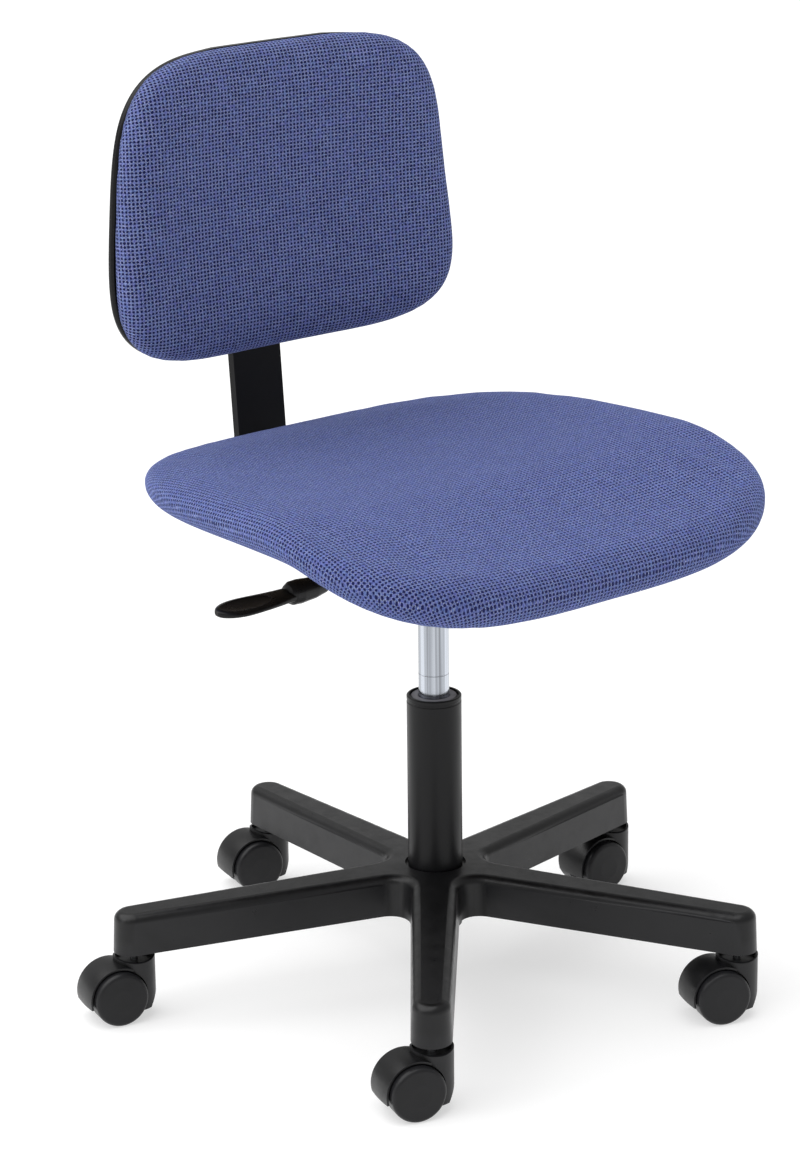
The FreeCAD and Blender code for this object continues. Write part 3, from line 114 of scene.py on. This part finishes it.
def moulded_plastic(name, level, shine, gloss=0.25, grain=0.00006, blue=1.12):
    """Textured moulding: fine spark-eroded grain, slight flow marks, and paler rubbed edges."""
    s = Shader(name, Specular_IOR_Level=gloss)
    patches = s.noise(9.0, 4.0, 0.6)
    colour = s.mix(s.ramp(patches, 0.35, 0.7), grey(level * 0.8, blue), grey(level * 1.25, blue))
    pointed = s.wire("NewGeometry", output=7)
    rubbed = s.ramp(pointed, 0.515, 0.57, 0.0, 0.5)
    colour = s.mix(rubbed, colour, grey(level * 2.2 + 0.006, blue))
    scuffs = s.noise(60.0, 5.0, 0.7)
    roughness = s.ramp(scuffs, 0.3, 0.75, shine - 0.07, shine + 0.1)
    normal = s.bump(s.noise(1400.0, 2.0, 0.6), grain, 0.7)
    return s.finish(colour, roughness, normal)


def painted_steel(name, level, shine, gloss):
    """Powder coat: orange-peel surface with a soft sheen."""
    s = Shader(name, Specular_IOR_Level=gloss)
    peel = s.noise(750.0, 2.0, 0.5)
    patches = s.noise(14.0, 3.0)
    colour = s.mix(s.ramp(patches, 0.3, 0.7), grey(level * 0.85, 1.12), grey(level * 1.2, 1.12))
    roughness = s.ramp(patches, 0.3, 0.7, shine - 0.05, shine + 0.06)
    return s.finish(colour, roughness, s.bump(peel, 0.00008, 0.6))


def bare_metal(name, colour, shine, drawing_and_painted_reflection=0.0):
    """Ground or plated steel: fine turning marks; drawing marks and painted reflection along Z where
    set.
    """
    s = Shader(name, Metallic=1.0)
    place = s.wire("TexCoord", output=3)
    lines = s.noise(1.0, 3.0, 0.7, s.wire("Mapping", Vector=place, Scale=(260.0, 260.0, 3200.0)))
    drawing_and_reflection_stripes = s.noise(1.0, 2.0, 0.6, s.wire("Mapping", Vector=place, Scale=(190.0, 190.0, 1.5)))
    dark = tuple(c * (1.0 - drawing_and_painted_reflection) * 0.93 for c in colour[:3]) + (1.0,)
    light = tuple(min(1.0, c * (1.0 + drawing_and_painted_reflection * 0.8)) for c in colour[:3]) + (1.0,)
    # partly drawing marks, partly painted reflection: the colour goes lighter and darker in stripes
    # along Z
    tint = s.mix(s.ramp(drawing_and_reflection_stripes, 0.36, 0.64), dark, light)
    roughness = s.ramp(lines, 0.3, 0.7, shine * 0.75, shine * 1.3)
    return s.finish(tint, roughness, s.bump(lines, 0.00002, 0.35))


def rubber(name):
    """Dull black, slightly uneven."""
    s = Shader(name, Specular_IOR_Level=0.3)
    colour = s.mix(s.noise(40.0, 3.0), grey(0.012), grey(0.03))
    return s.finish(colour, 0.8, s.bump(s.noise(900.0), 0.00005))


def plywood(name):
    """Beech plies seen as stripes on the edge, long grain on the faces, dark stain."""
    s = Shader(name, Specular_IOR_Level=0.3)
    place = s.wire("TexCoord", output=3)
    grain = s.noise(1.0, 4.0, 0.6, s.wire("Mapping", Vector=place, Scale=(18.0, 260.0, 900.0)))
    colour = s.mix(s.ramp(grain, 0.3, 0.7), (0.05, 0.036, 0.026, 1.0), (0.12, 0.085, 0.055, 1.0))
    return s.finish(colour, s.ramp(grain, 0.3, 0.7, 0.55, 0.75), s.bump(grain, 0.0001))


PITCH_ACROSS = 0.0040    # from one gap of the weave to the next
PITCH_ALONG = 0.0034
YARN_WANDER = 0.0015


def woven_fabric(name, thread, shade, hole, painted_highlight_colour, fuzz):
    """Open basket weave: a lattice of dark ragged gaps between soft two-tone yarns."""
    s = Shader(name, Specular_IOR_Level=0.12, Sheen_Weight=fuzz, Sheen_Roughness=0.5)
    s.surface.inputs["Sheen Tint"].default_value = (0.42, 0.52, 1.0, 1.0)
    place = s.wire("Attribute", output=1, settings={"attribute_name": "weave"})
    wander = s.wire("TexNoise", output=1, Vector=place, Scale=330.0, Detail=3.0)
    shift = s.wire("VectorMath", settings={"operation": "MULTIPLY_ADD"}, i0=wander,
                   i1=(YARN_WANDER, YARN_WANDER, 0.0), i2=place)
    cells = s.wire("VectorMath", settings={"operation": "MULTIPLY"}, i0=shift,
                   i1=(1.0 / PITCH_ACROSS, 1.0 / PITCH_ALONG, 0.0))
    lattice = s.wire("SeparateXYZ", Vector=cells)

    def ripple(value):
        return s.math("COSINE", s.math("MULTIPLY", value, 2.0 * math.pi))

    warp = ripple(lattice)
    weft = ripple(lattice.node.outputs[1])
    whole = s.wire("VectorMath", settings={"operation": "FLOOR"}, i0=cells)
    speck = s.wire("TexWhiteNoise", Vector=whole, settings={"noise_dimensions": "3D"})
    fibres = s.noise(1300.0, 2.0, 0.7, place)
    ragged = s.ramp(fibres, 0.3, 0.7, -0.65, 0.65)
    loose = s.math("ADD", s.ramp(speck, 0.0, 1.0, -0.50, 0.45), ragged)
    opened = s.math("ADD", s.math("ADD", warp, weft), loose)
    gap = s.wire("MapRange", settings={"interpolation_type": "SMOOTHSTEP"}, Value=opened,
                 From_Min=-0.30, From_Max=0.75, To_Min=0.0, To_Max=1.0)
    crown = s.ramp(s.math("MULTIPLY", warp, weft), -1.0, 0.0, 1.0, 0.0)
    yarn = s.noise(520.0, 3.0, 0.75, place)
    tone = s.mix(s.ramp(yarn, 0.40, 0.60), shade, thread)
    patches = s.noise(30.0, 4.0, 0.7, place)
    tone = s.mix(s.ramp(patches, 0.35, 0.7, 0.0, 0.35), tone, shade)
    dyes = s.wire("TexNoise", output=1, Vector=place, Scale=210.0, Detail=3.0, Roughness=0.7)
    tone = s.mix(0.4, tone, dyes, "SOFT_LIGHT")
    # painted highlight: a pale colour laid on the yarn crowns in random cells
    painted_highlight_mask = s.math("MULTIPLY", crown, s.ramp(speck, 0.25, 1.0, 0.05, 1.0))
    tone = s.mix(painted_highlight_mask, tone, painted_highlight_colour)
    colour = s.mix(gap, tone, hole)
    inside = s.wire("Attribute", output=2, settings={"attribute_name": "backing"})
    backing = s.ramp(inside, 0.0, 0.0006)
    felt = s.mix(s.ramp(s.noise(900.0, 3.0, 0.7), 0.3, 0.7), grey(0.006), grey(0.016))
    colour = s.mix(backing, colour, felt)
    height = s.math("ADD", s.math("MULTIPLY", gap, -1.0), s.math("MULTIPLY", crown, 0.4))
    normal = s.bump(height, 0.0008, 0.8)
    normal = s.bump(fibres, 0.00014, 0.5, normal)
    return s.finish(colour, s.ramp(gap, 0.0, 1.0, 0.82, 0.98), normal)


MATERIALS = {
    "base_nylon": moulded_plastic("base_nylon", 0.0042, 0.34, 0.33),
    "wheel_nylon": moulded_plastic("wheel_nylon", 0.0095, 0.36, 0.27),
    "black_steel": painted_steel("black_steel", 0.0085, 0.50, 0.13),
    # this steel's stripes along Z are partly painted reflection
    "bright_steel": bare_metal("bright_steel", (0.440, 0.466, 0.512, 1.0), 0.20, 0.45),
    "zinc_steel": bare_metal("zinc_steel", (0.46, 0.47, 0.49, 1.0), 0.34),
    "bearing_steel": bare_metal("bearing_steel", (0.50, 0.51, 0.53, 1.0), 0.2),
    "bush_plastic": moulded_plastic("bush_plastic", 0.22, 0.5),
    "rubber_part": rubber("rubber_part"),
    "black_plastic": moulded_plastic("black_plastic", 0.0055, 0.30, 0.22, 0.00003),
    "plywood": plywood("plywood"),
    # each fabric's last colour is a painted highlight on its yarn crowns
    "seat_fabric": woven_fabric(
        "seat_fabric", thread=(0.172, 0.214, 0.475, 1.0), shade=(0.056, 0.078, 0.262, 1.0),
        hole=(0.008, 0.010, 0.070, 1.0), painted_highlight_colour=(0.620, 0.690, 0.960, 1.0), fuzz=0.36),
    "back_fabric": woven_fabric(
        "back_fabric", thread=(0.225, 0.272, 0.540, 1.0), shade=(0.068, 0.092, 0.290, 1.0),
        hole=(0.008, 0.011, 0.065, 1.0), painted_highlight_colour=(0.680, 0.740, 0.960, 1.0), fuzz=0.15),
}
OWN_FINISH = {"column_tube": painted_steel("column_enamel", 0.0068, 0.34, 0.22)}

for row in frame["record"]["subparts"]:
    cad = frame["nodes"][row["node"]]
    cad.data.materials.clear()
    cad.data.materials.append(OWN_FINISH.get(row["node"], MATERIALS[row["material_slot"]]))


# ---------------------------------------------------------------- cushions

def power(value, exponent):
    return np.sign(value) * np.abs(value) ** exponent


def soft_step(value, width):
    """max(0, value) with its corner rounded over about the given width."""
    return 0.5 * (value + np.sqrt(value * value + width * width)) - width * 0.5


class SeatForm:
    """Seat cushion: square-shouldered outline, falling front, sides that rise a little."""
    centre_y = -0.0107
    half_x = 0.2512
    half_y = 0.2264
    front_power = 3.74        # how square the front and rear corners are; 2 would be an ellipse
    rear_power = 2.86
    taper = 0.053             # share of the half width lost from the middle to the rear
    belly = 0.013             # share gained at the front and the rear alike
    top = 0.4895
    low = 0.4530
    edge = 0.0196             # rounding above and below the waist
    low_edge = 0.0210
    waist = 0.5               # height of the widest line between the two faces
    top_fall = (0.0322, 0.0748, 0.18)    # drop at the front, where it starts, how softly
    low_fall = (0.0480, 0.0950, 0.14)
    side_rise = 0.0134
    side_start = 0.03
    backing_inset = 0.034     # where the black backing cloth begins under the seat

    def exponents(self, y):
        return np.where(y > 0, self.rear_power, self.front_power)

    def outline(self, angle):
        c, s = np.cos(angle), np.sin(angle)
        exponent = 2.0 / self.exponents(s)
        ex, ey = power(c, exponent), power(s, exponent)
        return ex * self.half_x * (1.0 - self.taper * ey + self.belly * ey * ey), ey * self.half_y

    def fall(self, y, drop, start, softness):
        return drop * soft_step((-y - start) / (self.half_y - start), softness)

    def faces(self, x, y):
        """Heights of the lower and upper surface at a plan position, y counted from the middle."""
        side = np.clip((np.abs(x) - self.side_start) / (self.half_x - self.side_start), 0.0, None)
        rise = self.side_rise * side ** 2
        return (self.low - self.fall(y, *self.low_fall) + rise,
                self.top - self.fall(y, *self.top_fall) + rise)

    def place(self, x, y, level):
        return np.stack([x, y + self.centre_y, level], -1)

    def local(self, points):
        return points[:, 0], points[:, 1] - self.centre_y, points[:, 2]


class BackForm:
    """Backrest cushion, drawn lying down: x across, y up the back, level towards the sitter."""
    centre = (0.2166, 0.7043)  # Y and Z of its middle
    tilt = math.radians(1.55)
    half_x = 0.1898
    half_y = 0.1394
    taper = 0.0138            # half width lost from the middle to the top
    corner_power = 4.4
    rear = -0.0042            # levels of the two faces in the middle
    front = 0.0195
    edge = 0.0185
    low_edge = 0.0035
    waist = 0.2
    wrap = 0.01665            # how far the sides come forward, at wrap_at from the middle
    wrap_at = 0.2
    cup = 0.00615             # how far the top and bottom come forward, at cup_at
    cup_at = 0.1394
    backing_inset = 0.012

    def exponents(self, y):
        return np.full_like(y, self.corner_power)

    def outline(self, angle):
        c, s = np.cos(angle), np.sin(angle)
        ex, ey = power(c, 2.0 / self.corner_power), power(s, 2.0 / self.corner_power)
        return ex * (self.half_x - self.taper * ey), ey * self.half_y

    def faces(self, x, y):
        middle = self.wrap * (x / self.wrap_at) ** 2 + self.cup * (y / self.cup_at) ** 2
        return middle + self.rear, middle + self.front

    def place(self, x, y, level):
        forward = -level
        up = y * math.cos(self.tilt) - forward * math.sin(self.tilt)
        back = forward * math.cos(self.tilt) + y * math.sin(self.tilt)
        return np.stack([x, self.centre[0] + back, self.centre[1] + up], -1)

    def local(self, points):
        back = points[:, 1] - self.centre[0]
        up = points[:, 2] - self.centre[1]
        y = up * math.cos(self.tilt) + back * math.sin(self.tilt)
        forward = back * math.cos(self.tilt) - up * math.sin(self.tilt)
        return points[:, 0], y, -forward


def even_outline(form, count):
    """Points of a form's outline, evenly spaced along its length."""
    fx, fy = form.outline(np.linspace(0.0, 2.0 * math.pi, count * 40 + 1))
    travelled = np.concatenate([[0.0], np.cumsum(np.hypot(np.diff(fx), np.diff(fy)))])
    even = np.linspace(0.0, travelled[-1], count, endpoint=False)
    return np.interp(even, travelled, fx), np.interp(even, travelled, fy)


def cushion_mesh(form, name, lowered, around=180, inner=12, rim=13):
    """Closed skin of rings, from the lower face's centre over the rounded rim to the upper's."""
    ox, oy = even_outline(form, around)
    length = np.hypot(ox, oy)
    rings = []

    def ring(inset, scale, lift):
        factor = (length - inset) / length * scale
        x, y = ox * factor, oy * factor
        low, high = form.faces(x, y)
        waist = low + (high - low) * form.waist
        high = high - lowered
        reach = high - waist if lift > 0 else waist - low
        rings.append(form.place(x, y, waist + reach * lift))

    for i in range(1, inner):
        ring(form.low_edge, i / inner, -1.0)
    for i in range(rim):
        turn = math.pi * (i / (rim - 1) - 0.5)
        rounding = form.edge if turn > 0 else form.low_edge
        ring(rounding * (1.0 - math.cos(turn)), 1.0, math.sin(turn))
    for i in range(inner - 1, 0, -1):
        ring(form.edge, i / inner, 1.0)
    count = len(rings)
    middle = np.zeros(1)
    low, high = form.faces(middle, middle)
    points = np.concatenate(rings + [form.place(middle, middle, low),
                                     form.place(middle, middle, high - lowered)])
    faces = []
    for r in range(count - 1):
        for i in range(around):
            j = (i + 1) % around
            faces.append((r * around + i, r * around + j, (r + 1) * around + j, (r + 1) * around + i))
    low_pole, high_pole = count * around, count * around + 1
    for i in range(around):
        j = (i + 1) % around
        faces.append((low_pole, j, i))
        faces.append((high_pole, (count - 1) * around + i, (count - 1) * around + j))
    mesh = bpy.data.meshes.new(name)
    mesh.from_pydata(points.tolist(), [], faces)
    mesh.update()
    piece = bpy.data.objects.new(name, mesh)
    bpy.context.scene.collection.objects.link(piece)
    return piece


def points_of(piece):
    flat = np.empty(len(piece.data.vertices) * 3, np.float64)
    piece.data.vertices.foreach_get("co", flat)
    return flat.reshape(-1, 3)


def set_points(piece, points):
    piece.data.vertices.foreach_set("co", points.reshape(-1).astype(np.float32))
    piece.data.update()


def apply_modifiers(piece):
    graph = bpy.context.evaluated_depsgraph_get()
    mesh = bpy.data.meshes.new_from_object(piece.evaluated_get(graph))
    old = piece.data
    piece.modifiers.clear()
    piece.data = mesh
    bpy.data.meshes.remove(old)


def smoothed(piece, field, passes):
    """A field over the points, averaged with its neighbours again and again."""
    ends = np.empty(len(piece.data.edges) * 2, np.int32)
    piece.data.edges.foreach_get("vertices", ends)
    first, second = ends.reshape(-1, 2).T
    count = np.bincount(ends, minlength=len(field))[:, None]
    for _ in range(passes):
        total = np.zeros_like(field)
        np.add.at(total, first, field[second])
        np.add.at(total, second, field[first])
        field = 0.5 * (field + total / np.maximum(count, 1))
    return field


def remesh(piece, size):
    """Even voxel mesh, laid back on the smooth skin that it came from."""
    skin = BVHTree.FromObject(piece, bpy.context.evaluated_depsgraph_get())
    step = piece.modifiers.new("remesh", "REMESH")
    step.mode = "VOXEL"
    step.voxel_size = size
    bpy.context.view_layer.update()
    apply_modifiers(piece)
    set_points(piece, np.array([skin.find_nearest(Vector(point))[0] for point in points_of(piece)]))


def inflate(piece, held, pressure, cap, frames=20, smoothing=6):
    """Cloth simulation that swells the cover; held(points) is 1 where it can't move."""
    start = points_of(piece)
    group = piece.vertex_groups.new(name="held")
    weights = held(start)
    for index in np.nonzero(weights > 0.01)[0]:
        group.add([int(index)], float(weights[index]), "REPLACE")
    cloth = piece.modifiers.new("cloth", "CLOTH")
    settings = cloth.settings
    settings.quality = 6
    settings.mass = 0.3
    settings.tension_stiffness = 25.0
    settings.compression_stiffness = 25.0
    settings.shear_stiffness = 12.0
    settings.bending_stiffness = 4.0
    settings.use_pressure = True
    settings.uniform_pressure_force = pressure
    settings.vertex_group_mass = "held"
    settings.effector_weights.gravity = 0.0
    cloth.collision_settings.use_collision = False
    cloth.point_cache.frame_start = 1
    cloth.point_cache.frame_end = frames
    scene = bpy.context.scene
    for number in range(1, frames + 1):
        scene.frame_set(number)
    apply_modifiers(piece)
    scene.frame_set(1)
    moved = points_of(piece) - start
    size = np.linalg.norm(moved, axis=1, keepdims=True)
    limited = np.tanh(size / cap) * cap
    moved *= limited / np.maximum(size, 1e-9) * (1.0 - weights[:, None])
    set_points(piece, start + smoothed(piece, moved, smoothing))


def weave_places(piece, form):
    """Stores each point's place on the flat cloth, so the weave doesn't stretch over the rim."""
    x, y, level = form.local(points_of(piece))
    low, high = form.faces(x, y)
    waist = low + (high - low) * form.waist
    ox, oy = even_outline(form, 720)
    direction = np.arctan2(oy, ox)
    order = np.argsort(direction)
    reach = np.interp(np.arctan2(y, x), direction[order], np.hypot(ox, oy)[order],
                      period=2.0 * math.pi)
    radius = np.maximum(np.hypot(x, y), 1e-6)
    exponent = form.exponents(y) - 1.0
    nx = power(x / form.half_x, exponent) / form.half_x
    ny = power(y / form.half_y, exponent) / form.half_y
    size = np.maximum(np.hypot(nx, ny), 1e-9)
    nx, ny = nx / size, ny / size
    above = level > waist
    rounding = np.where(above, form.edge, form.low_edge)
    rise = np.where(above, high - waist, waist - low)
    square = (nx * x + ny * y) / radius
    sideways = np.clip(1.0 - (reach - radius) / rounding, 0.0, 1.0)
    turn = np.arctan2(np.abs(level - waist) / rise, sideways)
    bend = (rounding * square + rise) / 2
    top_bend = (form.edge * square + (high - waist)) / 2
    flat_part = rounding * square * np.cos(turn)
    beyond = np.where(above, bend * (math.pi / 2 - turn) - flat_part,
                      top_bend * math.pi / 2 + bend * turn - flat_part)
    places = np.stack([x + nx * beyond, y + ny * beyond, np.zeros_like(x)], -1)
    attribute = piece.data.attributes.new("weave", "FLOAT_VECTOR", "POINT")
    attribute.data.foreach_set("vector", places.reshape(-1).astype(np.float32))
    backing = np.where(above, -1.0, reach - radius - form.backing_inset)
    attribute = piece.data.attributes.new("backing", "FLOAT", "POINT")
    attribute.data.foreach_set("value", backing.astype(np.float32))


FREE_ABOVE = 0.8    # share of the rim's upper half over which the cover comes free


def stapled_part(form):
    """1 on the stapled face and up to the waist, falling to 0 near the top of the rim."""
    def weight(points):
        x, y, level = form.local(points)
        low, high = form.faces(x, y)
        waist = low + (high - low) * form.waist
        return np.clip(1.0 - (level - waist) / (high - waist) / FREE_ABOVE, 0.0, 1.0)
    return weight


START_LOWER = 0.0012    # how much lower the crown starts, before it swells
VOXEL = 0.005
PRESSURE = 4.0
MOST_SWELL = 0.004


def cushion(name, form, body, node, slot):
    """One padded piece: drawn form, swollen cover, weave, and the CAD solid that it stands for."""
    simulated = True
    piece = cushion_mesh(form, name, START_LOWER if simulated else 0.0)
    if simulated:
        remesh(piece, VOXEL)
        inflate(piece, stapled_part(form), PRESSURE, MOST_SWELL)
    finer = piece.modifiers.new("finer", "SUBSURF")
    finer.levels = 1
    finer.render_levels = 1
    apply_modifiers(piece)
    weave_places(piece, form)
    piece.data.materials.append(MATERIALS[slot])
    piece.data.shade_smooth()
    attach(piece, body)
    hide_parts(node)
    return piece


cushion("seat_pad", SeatForm(), "seat_unit", "seat_cushion", "seat_fabric")
cushion("back_pad", BackForm(), "backrest", "back_cushion", "back_fabric")


# ---------------------------------------------------------------- studio

FLOOR_HALF = 45.0
FLOOR_GLOW = 0.53


def studio_floor():
    """Pale floor with a little light of its own, which lightens the shadows on it."""
    corners = [(a * FLOOR_HALF, b * FLOOR_HALF, 0) for a, b in ((-1, -1), (1, -1), (1, 1), (-1, 1))]
    mesh = bpy.data.meshes.new("studio_floor")
    mesh.from_pydata(corners, [], [(0, 1, 2, 3)])
    floor = bpy.data.objects.new("studio_floor", mesh)
    bpy.context.scene.collection.objects.link(floor)
    s = Shader("studio_floor", Roughness=0.9, Specular_IOR_Level=0.05, Emission_Strength=FLOOR_GLOW)
    s.surface.inputs["Emission Color"].default_value = (1.0, 1.0, 1.0, 1.0)
    floor.data.materials.append(s.finish(s.mix(s.noise(1.5), grey(0.51), grey(0.53))))


LIT_POINT = Vector((0.0, 0.0, 0.45))
SURROUND = 0.50
OVERHEAD = 2.75
STRIP_WATTS = 5.0


def lamp(kind, name, place, strength, **settings):
    """A light at a place, turned towards the middle of the chair."""
    data = bpy.data.lights.new(name, kind)
    data.energy = strength
    for key, value in settings.items():
        setattr(data, key, value)
    item = bpy.data.objects.new(name, data)
    item.location = place
    item.rotation_euler = (LIT_POINT - Vector(place)).to_track_quat("-Z", "Y").to_euler()
    bpy.context.scene.collection.objects.link(item)


def studio_light():
    """Pale surround, one broad overhead light, and a faint tall strip on the sitter's right."""
    world = bpy.data.worlds.new("studio")
    bpy.context.scene.world = world
    world.use_nodes = True
    background = world.node_tree.nodes["Background"]
    background.inputs["Color"].default_value = (1.0, 1.0, 1.0, 1.0)
    background.inputs["Strength"].default_value = SURROUND
    lamp("SUN", "overhead", (-0.9, 0.5, 3.0), OVERHEAD, angle=math.radians(80.0))
    lamp("AREA", "strip", (-2.2, 0.5, 0.9), STRIP_WATTS, shape="RECTANGLE", size=0.35, size_y=1.8)


def studio_camera():
    """Standing at the sitter's right front, looking slightly down."""
    turn = math.radians(-41.0)
    distance, height = 3.0533, 1.3273
    pitch, yaw, roll = (math.radians(a) for a in (17.108, -0.555, -0.65))
    data = bpy.data.cameras.new("camera")
    data.sensor_width = 36.0
    data.lens = 111.6
    data.clip_end = 150.0
    camera = bpy.data.objects.new("camera", data)
    place = Matrix.Translation((distance * math.sin(turn), -distance * math.cos(turn), height))
    aim = Matrix.Rotation(turn - yaw, 4, "Z") @ Matrix.Rotation(math.pi / 2 - pitch, 4, "X")
    camera.matrix_world = place @ aim @ Matrix.Rotation(roll, 4, "Z")
    bpy.context.scene.collection.objects.link(camera)
    bpy.context.scene.camera = camera


studio_floor()
studio_light()
studio_camera()
bpy.context.scene.view_settings.view_transform = "Standard"
